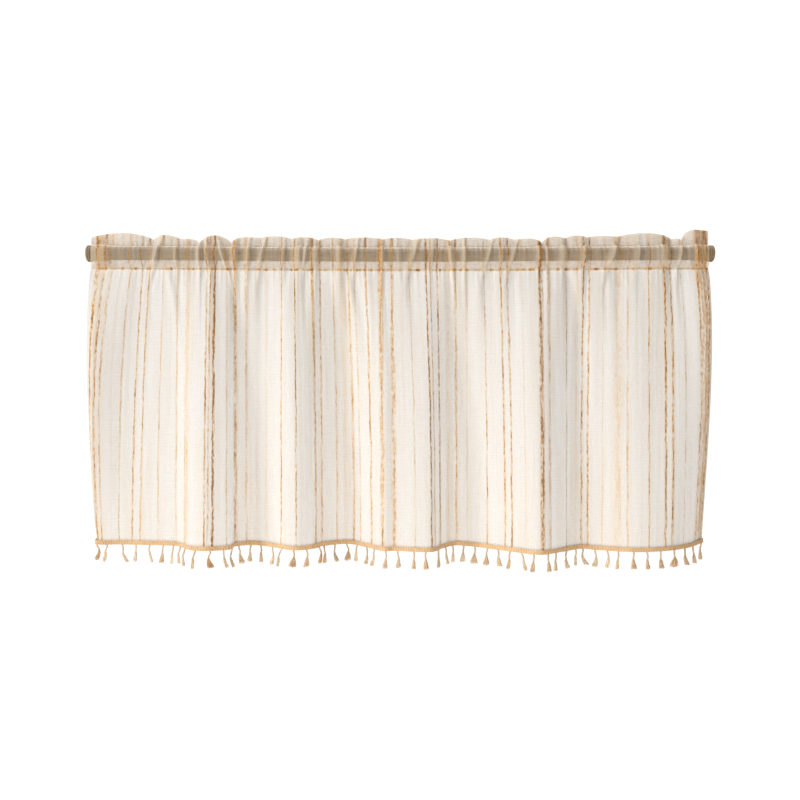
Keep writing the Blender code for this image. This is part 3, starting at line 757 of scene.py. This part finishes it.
cloth_points, cloth_folded, seam_row = cloth_sheet()
row_step = np.linalg.norm(np.diff(cloth_points, axis=0), axis=2).mean(axis=1)
cloth_v = np.concatenate(([0.0], np.cumsum(row_step)))
cloth_u = np.linspace(0, CLOTH_FLAT[0], CLOTH_COLUMNS)
cloth_uv = np.stack(np.broadcast_arrays(cloth_u[None, :], cloth_v[:, None]), axis=-1)
cloth_mesh = skin("curtain_cloth", cloth_points[None], uv=cloth_uv)
mark(cloth_mesh, "layers", 1.0 + FOLDED_COVER * cloth_folded)
voile = striped_voile(seam_at=float(cloth_v[seam_row - 1]), hem_at=float(cloth_v[-1]))
cloth = hang_up("curtain_cloth", cloth_mesh, voile, "voile", "curtain")


# Stitches: two rows of lockstitch hold the pocket round the rod, and one runs down each side
# hem. The thread is tan polyester, and each stitch lies on the cloth between two needle holes.
STITCH_PITCH = 0.0032
STITCH_LENGTH = 0.0024
STITCH_RADIUS = 0.00033
STITCH_SIDES = 5
STITCH_RISE = 0.00022          # its middle over the cloth's
STITCH_MARGIN = 0.003          # from a row's ends to its first and last stitch
STITCH_SECTION = ((-1.0, 0.15), (-0.72, 0.8), (0.0, 1.0), (0.72, 0.8), (1.0, 0.15))


def unit(vectors):
    """Vectors of length 1 along the last axis."""
    return vectors / np.linalg.norm(vectors, axis=-1, keepdims=True)


def stitch_grids(path, outward):
    """Capsules laid along a path at an even pitch, standing off it to one side."""
    run = np.concatenate(([0.0], np.cumsum(np.linalg.norm(np.diff(path, axis=0), axis=1))))
    middle = np.arange(STITCH_PITCH / 2 + STITCH_MARGIN, run[-1] - STITCH_MARGIN, STITCH_PITCH)

    def at(places):
        return np.stack([np.interp(places, run, path[:, axis]) for axis in range(3)], axis=-1)

    along = unit(at(middle + STITCH_LENGTH / 2) - at(middle - STITCH_LENGTH / 2))
    away = unit(outward - np.sum(along * outward, axis=1, keepdims=True) * along)
    beside = np.cross(away, along)
    reach, girth = np.array(STITCH_SECTION).T
    turn = np.linspace(0, 2 * math.pi, STITCH_SIDES, endpoint=False)
    ring = (away[:, None, None] * np.cos(turn)[:, None] + beside[:, None, None]
            * np.sin(turn)[:, None]) * (girth * STITCH_RADIUS)[:, None, None]
    centre = at(middle) + away * STITCH_RISE
    return (centre[:, None, None] + along[:, None, None]
            * (reach * STITCH_LENGTH / 2)[:, None, None] + ring)


# Yarn: fine strands and broad patches between its light and its dark colour, and its twist.
STRAND_SCALE = 1500.0          # strands and patches a metre
PATCH_SCALE = 60.0
STRAND_SHARE = 0.8
PATCH_SHARE = 0.5
MOTTLE_MIDDLE = 0.55
YARN_RELIEF = 0.0001
twisted_yarn, given, made = new_group(
    "twisted_yarn",
    (("Vector", "Vector"), ("Light", "Color"), ("Dark", "Color"), ("Shade", "Float")),
    (("Color", "Color"), ("Height", "Float")))
strands = noise(twisted_yarn, given.outputs["Vector"], STRAND_SCALE, 3.0)
patches = noise(twisted_yarn, given.outputs["Vector"], PATCH_SCALE)
mottle = maths(twisted_yarn, "MULTIPLY_ADD", strands, STRAND_SHARE,
               maths(twisted_yarn, "MULTIPLY", patches, PATCH_SHARE))
depth_of_dye = maths(twisted_yarn, "ADD", maths(twisted_yarn, "SUBTRACT", mottle, MOTTLE_MIDDLE),
                     given.outputs["Shade"], clamp=True)
twisted_yarn.links.new(
    blend_colour(twisted_yarn, depth_of_dye, given.outputs["Light"], given.outputs["Dark"]),
    made.inputs["Color"])
twisted_yarn.links.new(strands, made.inputs["Height"])


def yarn(name, light, dark, even=None):
    """Matt yarn, as dark as even says, or as its mesh's attribute "shade" says at each point."""
    material, tree, shader = start_material(name)
    if even is None:
        even = put(tree, "ShaderNodeAttribute", attribute_name="shade").outputs["Fac"]
    thread = put(tree, "ShaderNodeGroup", {
        "Vector": put(tree, "ShaderNodeTexCoord").outputs["Object"],
        "Light": light, "Dark": dark, "Shade": even}, node_tree=twisted_yarn)
    tree.links.new(thread.outputs["Color"], shader.inputs["Base Color"])
    emboss(tree, shader, thread.outputs["Height"], YARN_RELIEF)
    shader.inputs["Roughness"].default_value = 0.88
    shader.inputs["Specular IOR Level"].default_value = 0.2
    shader.inputs["Sheen Weight"].default_value = 0.3
    return material


# The rows of the cloth that lie on its upper seam, behind and in front.
BACK_HEADING_ROW = (2 + len(ROD_STEPS)) * ROWS_A_STEP
HEADING_ROW = BACK_HEADING_ROW + 2 * (1 + len(RUFFLE_STEPS)) * ROWS_A_STEP
front_way, back_way = np.array([(0.0, -1.0, 0.15), (0.0, 1.0, 0.15)])
stitches = [stitch_grids(cloth_points[row], way) for row, way in (
    (seam_row - 1, front_way), (HEADING_ROW, front_way),
    (0, back_way), (BACK_HEADING_ROW, back_way))]
side_column = round(SIDE_HEM / CLOTH_FLAT[0] * CLOTH_COLUMNS)
for side in (side_column, -side_column):
    stitches.append(stitch_grids(cloth_points[seam_row:HEM_ROW, side], front_way))
stitch_mesh = skin("seam_stitches", np.concatenate(stitches), closed=True, capped=BOTH_ENDS)
seam_stitches = hang_up("seam_stitches", stitch_mesh, yarn(
    "orange_tan_thread", (0.88, 0.66, 0.40, 1.0), (0.62, 0.36, 0.15, 1.0), even=0.3), "voile")


# Hem braid: a narrow flat gimp of tan cotton, its cords laid in chevrons, sewn to the face of
# the hem. It follows every bend of the hem.
BRAID_COLUMNS = 2900
BRAID_HEIGHT = 0.0063
BRAID_THICKNESS = 0.0014
BRAID_OVERHANG = 0.0006
BRAID_STANDOFF = 0.0009        # from the cloth's middle to the braid's back
BRAID_RIB = 0.0036
RIB_LEAN = 0.45                # how far a rib leans in half the braid's height, against its pitch
RIB_FULLNESS = 0.6             # under 1, so a rib is round and a groove narrow
RIB_DEPTH = 0.7                # of the braid's own stand-out
RIB_SCALLOP = 0.06             # how much further the ribs' ends reach up and down
# Painted shade: the grooves between the ribs are painted darker, for the shadow between the cords
# and partly for their darker core.
BRAID_EVEN = 0.08              # shade of the ribs, and how much darker the grooves are
GROOVE_PAINTED_SHADE = 0.55
# Half a section: height from the braid's middle and stand-out, as shares of half its own.
BRAID_SECTION = (
    (-0.98, 0.1), (-0.93, 0.75), (-0.66, 1.0), (-0.36, 0.86), (0.0, 1.0), (0.36, 0.86),
    (0.66, 1.0), (0.93, 0.75), (0.98, 0.1), (0.6, -0.9), (-0.6, -0.9),
)


def hem_frame(places):
    """Points of the hem at places across the flat cloth, with level ways along and outward."""
    hem = cloth_points[-1]
    spots = np.stack([np.interp(places, cloth_u, hem[:, axis]) for axis in range(3)], axis=-1)
    way = np.gradient(hem, axis=0)
    way = np.stack([np.interp(places, cloth_u, way[:, axis]) for axis in range(3)], axis=-1)
    way[:, 2] = 0.0
    way = unit(way)
    return spots, way, np.stack([way[:, 1], -way[:, 0], np.zeros(len(way))], axis=-1)


def braid_grid():
    """A flat ring carried along the hem, its face raised in ribs that lean towards its middle.

    The second array is how dark each point is: painted shade in the grooves between the ribs, for
    the shadow between the cords, with part of it the cords' own darker core."""
    across = np.linspace(0.0, CLOTH_FLAT[0], BRAID_COLUMNS)
    spots, way, out = hem_frame(across)
    height, stand = np.array(BRAID_SECTION).T
    lean = np.abs(height) * BRAID_RIB * RIB_LEAN
    rib = np.abs(np.sin(math.pi * (across[:, None] + lean) / BRAID_RIB)) ** RIB_FULLNESS
    proud = np.where(stand > 0, stand * (1 - RIB_DEPTH + RIB_DEPTH * rib), stand)
    rise = height * (1 + RIB_SCALLOP * (rib - 0.5)) * BRAID_HEIGHT / 2
    level = BRAID_HEIGHT / 2 - BRAID_OVERHANG
    reach = BRAID_STANDOFF + BRAID_THICKNESS / 2 * (1 + proud)
    grid = spots[:, None] + out[:, None] * reach[..., None]
    grid[..., 2] += level + rise
    return grid, BRAID_EVEN + GROOVE_PAINTED_SHADE * (1 - rib)


braid_points, braid_shade = braid_grid()
braid_mesh = skin("hem_braid", braid_points[None], closed=True, capped=BOTH_ENDS)
mark(braid_mesh, "shade", braid_shade)
hem_braid = hang_up("hem_braid", braid_mesh, yarn(
    "tan_gimp", (1.0, 0.74, 0.46, 1.0), (0.50, 0.25, 0.09, 1.0)), "braid", "tassel_trim")


# Tassels: each hangs from the braid on a two-ply cord. A few turns of thread bind the head, and
# under it the cut cotton threads of the skirt fall loose.

# Place across the flat cloth, lean of the head and of the tips, width of the skirt, all in
# millimetres, and shade from 0, pale, to 1, dark: partly the yarn's own tone, partly painted
# light and shade.
TASSELS = (
    (6.0, 5.5, -3.4, 7.5, 0.8), (25.5, -2.1, -1.0, 4.1, 0.15), (46.0, 1.7, 5.9, 4.1, 0.3),
    (65.0, 0.1, -1.5, 4.1, 0.15), (85.0, 0.0, 2.8, 3.0, 0.25), (104.1, -1.2, -1.9, 6.2, 0.35),
    (119.3, -1.9, -0.6, 3.4, 0.2), (132.6, -3.4, 0.8, 4.1, 0.35), (148.8, -2.8, 1.4, 4.8, 0.4),
    (167.3, -3.4, -0.6, 3.6, 0.6), (187.1, -2.3, 3.3, 7.6, 0.8), (205.3, 0.7, 3.7, 4.1, 0.35),
    (216.6, -1.7, 4.0, 5.5, 0.4), (240.1, 1.4, 3.2, 7.6, 0.2), (257.2, -0.3, -0.4, 5.5, 0.2),
    (273.7, -0.3, 0.0, 4.8, 0.35), (292.3, 2.5, -2.5, 4.8, 0.1), (311.7, -4.6, -1.2, 4.1, 0.45),
    (329.0, 0.7, -2.2, 9.7, 0.8), (346.5, 1.0, -2.1, 7.6, 0.5), (369.3, 2.8, -2.1, 6.2, 0.7),
    (380.1, 1.4, -1.1, 5.5, 0.4), (397.1, -0.4, 3.6, 5.5, 0.4), (415.0, 2.9, -1.0, 9.0, 0.5),
    (434.3, -1.5, -1.4, 4.8, 0.4), (452.7, 0.8, -1.9, 5.5, 0.35), (468.7, -0.4, -3.2, 4.8, 0.4),
    (488.6, 0.0, -1.1, 5.5, 0.3), (505.4, 1.5, -0.8, 5.5, 0.4), (527.1, 0.7, 0.3, 4.7, 0.5),
    (544.0, 0.0, 0.4, 6.3, 0.6), (565.9, 0.0, 0.0, 6.9, 0.5), (585.7, 0.7, 2.1, 5.0, 0.35),
    (601.7, 1.4, -0.3, 5.5, 0.2), (620.0, -0.4, -1.0, 6.9, 0.12), (637.5, -0.3, -0.8, 9.0, 0.4),
    (656.7, -1.1, -1.0, 8.3, 0.55), (673.3, 0.6, 2.1, 7.6, 0.35), (691.0, -0.7, -2.2, 4.8, 0.6),
    (707.8, 3.3, 2.5, 4.8, 0.35), (725.4, 0.0, -1.8, 5.5, 0.6), (744.3, 0.6, 1.0, 6.2, 0.6),
    (759.1, -0.4, 0.4, 6.2, 0.3), (778.8, -0.7, 2.6, 6.1, 0.2), (797.3, 0.0, 0.0, 4.7, 0.1),
    (809.8, -0.3, 5.9, 6.9, 0.1), (827.7, 1.4, -2.1, 6.9, 0.2), (843.6, 2.3, -2.6, 5.5, 0.35),
    (858.4, -0.4, -1.1, 3.6, 0.6), (878.2, 0.0, 0.6, 6.6, 0.75), (895.8, 0.7, 0.7, 4.7, 0.6),
    (916.0, 0.7, 2.1, 6.6, 0.7), (937.7, 0.3, -1.0, 12.4, 0.7), (958.5, 0.0, 3.2, 7.7, 0.6),
    (974.6, 1.1, 1.5, 6.6, 0.5), (995.6, -1.4, 0.6, 5.5, 0.5),
)
CORD_LENGTH = 0.0098
CORD_UNEVEN = 0.1              # share of it by which cords differ
CORD_SETBACK = 0.2             # of the braid's overhang, so its end is hidden
CORD_ROWS = 15
CORD_SIDES = 5
CORD_BOW = 0.0011              # how far a cord bows to one side,
CORD_WAVE = 0.0005             # and then to both
NOD = 0.0012                   # how far a head hangs to the front or the back
PLY_RADIUS = 0.00086
PLY_OFFSET = 0.0007
PLY_TWIST = 0.0027             # length of one full turn
HEAD_LENGTH = 0.0026
HEAD_RADIUS = 0.0014
HEAD_TURNS = 3                 # of the binding thread
HEAD_ROWS = 17
HEAD_SIDES = 9
HEAD_ROUND = (0.08, 0.82, 0.55)    # where its outline starts, its span, and its fullness
BINDING_RELIEF = 0.09
HEAD_GROWTH = (0.8, 0.25, 0.006)   # size of the smallest, growth, and the skirt's width for it
HEAD_OVERLAP = 0.0004          # how far a head covers its cord's end
HEAD_SWING = 0.12              # share of the tips' lean that its foot takes
SKIRT_LENGTH = 0.012
SKIRT_THREADS = 27
SKIRT_SPREAD = 0.6             # how far its outer threads reach, against its width
SKIRT_RADIUS = 0.0005
SKIRT_ROWS = 7
THREAD_SIDES = 4
SKIRT_RINGS = (0.4, 0.72, 1.0)     # its threads lie in three rings
SKIRT_START = 0.75             # how far out they leave the head, and how far up in it
SKIRT_FLARE = 0.75             # under 1, so it opens fast under the head
SKIRT_SWING = 1.2
SKIRT_DEPTH = 0.62             # it is pressed a little flat
THREAD_STRAY = 0.0005
THREAD_TURN = 0.3              # radians by which a thread leaves its even place
THREAD_REACH = (0.8, 1.05)     # shares of the spread and of the length, least and most
THREAD_LENGTHS = (0.86, 1.04)
# A thread's girth down its length, against its own radius.
THREAD_GIRTH = ((0.0, 1.1), (0.3, 1.25), (1.0, 0.8))
GOLDEN_ANGLE = 2.39996
# Shade, as a factor of the tassel's own and a step: threads, heads and cords.
SKIRT_SHADE = (0.85, -0.12)
HEAD_SHADE = (0.7, 0.05)
CORD_SHADE = 0.4
THREAD_MOTTLE = 0.16           # by how much threads of a skirt differ in shade
TASSEL_SEED = 4


def tube_grid(path, radius, sides):
    """Rings of the given radii round paths of points, an array of (paths, rows, 3).

    Each ring lies level, because a tassel's threads all hang nearly plumb."""
    turn = np.linspace(0, 2 * math.pi, sides, endpoint=False)
    ring = np.stack([np.cos(turn), np.sin(turn), np.zeros(sides)], axis=-1)
    return path[..., None, :] + np.asarray(radius)[..., None, None] * ring


def tassel_grids():
    """Names and grids of the cords, heads and skirts of all tassels, with each grid's shade."""
    place, head_lean, tip_lean, width = np.array(TASSELS).T[:4] * MM
    # The shade is partly the yarn's own tone and partly painted light and shade, and heads, cords
    # and threads all follow it.
    shade = np.array(TASSELS).T[4]
    chance = np.random.default_rng(TASSEL_SEED)
    count = len(TASSELS)
    root, way, out = hem_frame(place)
    root = root + out * (BRAID_STANDOFF + BRAID_THICKNESS / 2)
    root[:, 2] -= BRAID_OVERHANG * CORD_SETBACK
    aside = np.array((1.0, 0.0, 0.0))
    nod = chance.uniform(-NOD, NOD, count)
    long = CORD_LENGTH * chance.uniform(1 - CORD_UNEVEN, 1 + CORD_UNEVEN, count)
    head = root + aside * head_lean[:, None] + out * nod[:, None]
    head[:, 2] -= long

    step = np.linspace(0, 1, CORD_ROWS)
    bend = chance.uniform(-CORD_BOW, CORD_BOW, count)[:, None] * np.sin(math.pi * step)
    bend = bend + chance.uniform(-CORD_WAVE, CORD_WAVE, count)[:, None] * np.sin(
        2 * math.pi * step)
    cord = root[:, None] + (head - root)[:, None] * step[:, None] + way[:, None] * bend[..., None]
    cord[..., 2] = root[:, None, 2] - long[:, None] * step
    turn = 2 * math.pi * long[:, None] * step / PLY_TWIST
    around = way[:, None] * np.cos(turn)[..., None] + out[:, None] * np.sin(turn)[..., None]
    plies = np.concatenate([cord + around * PLY_OFFSET, cord - around * PLY_OFFSET])
    cord_grids = tube_grid(plies, np.full(plies.shape[:2], PLY_RADIUS), CORD_SIDES)

    down = np.linspace(0, 1, HEAD_ROWS)
    first, span, fullness = HEAD_ROUND
    shape = np.sin(math.pi * np.clip(first + span * down, 0, 1)) ** fullness
    bound = shape * (1 + BINDING_RELIEF * np.sin(2 * math.pi * HEAD_TURNS * down))
    smallest, growth, for_width = HEAD_GROWTH
    size = HEAD_RADIUS * (smallest + growth * width / for_width)
    swing = (tip_lean[:, None] * HEAD_SWING * down)[..., None]
    head_path = head[:, None] + aside * swing
    head_path[..., 2] = head[:, None, 2] + HEAD_OVERLAP - HEAD_LENGTH * down
    head_grids = tube_grid(head_path, size[:, None] * bound, HEAD_SIDES)

    fall = np.linspace(0, 1, SKIRT_ROWS)
    seat = np.arange(SKIRT_THREADS)
    ring = np.array(SKIRT_RINGS)[seat % len(SKIRT_RINGS)]
    angle = seat * GOLDEN_ANGLE + chance.uniform(
        -THREAD_TURN, THREAD_TURN, (count, SKIRT_THREADS))
    start = SKIRT_START * size[:, None] * ring
    end = width[:, None] * SKIRT_SPREAD * ring * chance.uniform(
        *THREAD_REACH, (count, SKIRT_THREADS))
    spread = start[..., None] + (end - start)[..., None] * fall**SKIRT_FLARE
    across = spread * np.cos(angle)[..., None]
    swing = tip_lean[:, None, None] * fall**SKIRT_SWING
    across = across + chance.uniform(
        -THREAD_STRAY, THREAD_STRAY, (count, SKIRT_THREADS, 1)) * np.sin(2 * math.pi * fall)
    deep = spread * SKIRT_DEPTH * np.sin(angle)[..., None]
    length = SKIRT_LENGTH * chance.uniform(*THREAD_LENGTHS, (count, SKIRT_THREADS, 1))
    thread = (head[:, None, None] + way[:, None, None] * across[..., None]
              + aside * swing[..., None] + out[:, None, None] * deep[..., None])
    thread[..., 2] = head[:, None, None, 2] - HEAD_LENGTH * SKIRT_START - length * fall
    thread = thread.reshape(-1, SKIRT_ROWS, 3)
    girth = SKIRT_RADIUS * np.interp(fall, *np.array(THREAD_GIRTH).T)
    skirt_grids = tube_grid(thread, np.broadcast_to(girth, thread.shape[:2]), THREAD_SIDES)
    thread_shade = np.repeat(shade * SKIRT_SHADE[0] + SKIRT_SHADE[1], SKIRT_THREADS)
    thread_shade = thread_shade + chance.uniform(
        -THREAD_MOTTLE, THREAD_MOTTLE, count * SKIRT_THREADS)
    return (("tassel_cords", cord_grids, np.tile(shade * CORD_SHADE, 2)),
            ("tassel_heads", head_grids, shade * HEAD_SHADE[0] + HEAD_SHADE[1]),
            ("tassel_skirts", skirt_grids, thread_shade))


cotton = yarn("tassel_cotton", (1.0, 0.88, 0.70, 1.0), (0.66, 0.37, 0.14, 1.0))
for part_name, part_grids, part_shade in tassel_grids():
    part_mesh = skin(part_name, part_grids, closed=True, capped=BOTH_ENDS)
    mark(part_mesh, "shade", np.repeat(part_shade, len(part_mesh.vertices) // len(part_shade)))
    hang_up(part_name, part_mesh, cotton, "braid", "tassel_trim")


# Floor and backdrop: one round white sweep of paper, whose floor curves up into its wall, so far
# off that no line of it shows.
FLOOR_Z = -1.3
SWEEP_RADIUS = 4.5
SWEEP_CURVE = 1.6
SWEEP_WALL = 2.6
SWEEP_SIDES = 96
FLOOR_RINGS = (0.4, 1.5)
SWEEP_GLOW = 0.12              # of its own light on the object,
SEEN_GLOW = 0.80               # and so much more where it is seen behind it
sweep_arc = np.linspace(0, math.pi / 2, 25)
sweep_r = np.concatenate([
    FLOOR_RINGS, SWEEP_RADIUS - SWEEP_CURVE + SWEEP_CURVE * np.sin(sweep_arc), [SWEEP_RADIUS]])
sweep_z = FLOOR_Z + np.concatenate([
    [0.0, 0.0], SWEEP_CURVE * (1 - np.cos(sweep_arc)), [SWEEP_CURVE + SWEEP_WALL]])
sweep_turn = np.linspace(0, 2 * math.pi, SWEEP_SIDES, endpoint=False)
sweep_points = np.stack([
    ROD_LENGTH / 2 + sweep_r[:, None] * np.cos(sweep_turn),
    sweep_r[:, None] * np.sin(sweep_turn),
    np.broadcast_to(sweep_z[:, None], (len(sweep_z), SWEEP_SIDES))], axis=-1)
sweep_mesh = skin("backdrop", sweep_points[None], closed=True, capped=(0,))
sweep_material, sweep_tree, sweep_shader = start_material("white_sweep")
sweep_shader.inputs["Base Color"].default_value = (0.35, 0.35, 0.35, 1.0)
sweep_shader.inputs["Roughness"].default_value = 0.9
sweep_shader.inputs["Emission Color"].default_value = (1.0, 1.0, 1.0, 1.0)
seen = put(sweep_tree, "ShaderNodeLightPath").outputs["Is Camera Ray"]
sweep_tree.links.new(maths(sweep_tree, "MULTIPLY_ADD", seen, SEEN_GLOW, SWEEP_GLOW),
                     sweep_shader.inputs["Emission Strength"])
sweep = bpy.data.objects.new("backdrop", sweep_mesh)
sweep_mesh.materials.append(sweep_material)
bpy.context.scene.collection.objects.link(sweep)


# Lights: four soft panels, which the camera doesn't see, and an even warm glow from all sides.
# Each has a place, a width and height, a power in watts and a colour.
MIDDLE = Vector((ROD_LENGTH / 2, 0.0, -0.2))
LIGHTS = {
    "key_light": ((-2.1, -1.15, 0.8), (0.9, 0.9), 52.0, (1.0, 1.0, 1.0)),
    "back_light": ((1.6, 2.2, 0.9), (1.2, 1.2), 30.0, (1.0, 0.98, 0.95)),
    "top_light": ((0.45, 0.1, 1.3), (1.6, 0.7), 14.0, (1.0, 0.96, 0.90)),
    "low_light": ((0.45, -0.75, -1.15), (1.6, 0.7), 11.0, (1.0, 0.84, 0.64)),
}
GLOW_COLOUR = (1.0, 0.90, 0.79, 1.0)
GLOW_STRENGTH = 0.27

for light_name, (light_place, light_size, power, light_colour) in LIGHTS.items():
    panel = bpy.data.lights.new(light_name, "AREA")
    panel.shape = "RECTANGLE"
    panel.size, panel.size_y = light_size
    panel.energy = power
    panel.color = light_colour
    lamp = bpy.data.objects.new(light_name, panel)
    lamp.location = light_place
    lamp.rotation_euler = (MIDDLE - Vector(light_place)).to_track_quat("-Z", "Y").to_euler()
    lamp.visible_camera = False
    bpy.context.scene.collection.objects.link(lamp)

world = bpy.context.scene.world or bpy.data.worlds.new("world")
bpy.context.scene.world = world
world.use_nodes = True
world.node_tree.nodes["Background"].inputs["Color"].default_value = GLOW_COLOUR
world.node_tree.nodes["Background"].inputs["Strength"].default_value = GLOW_STRENGTH
bpy.context.scene.view_settings.view_transform = "Standard"
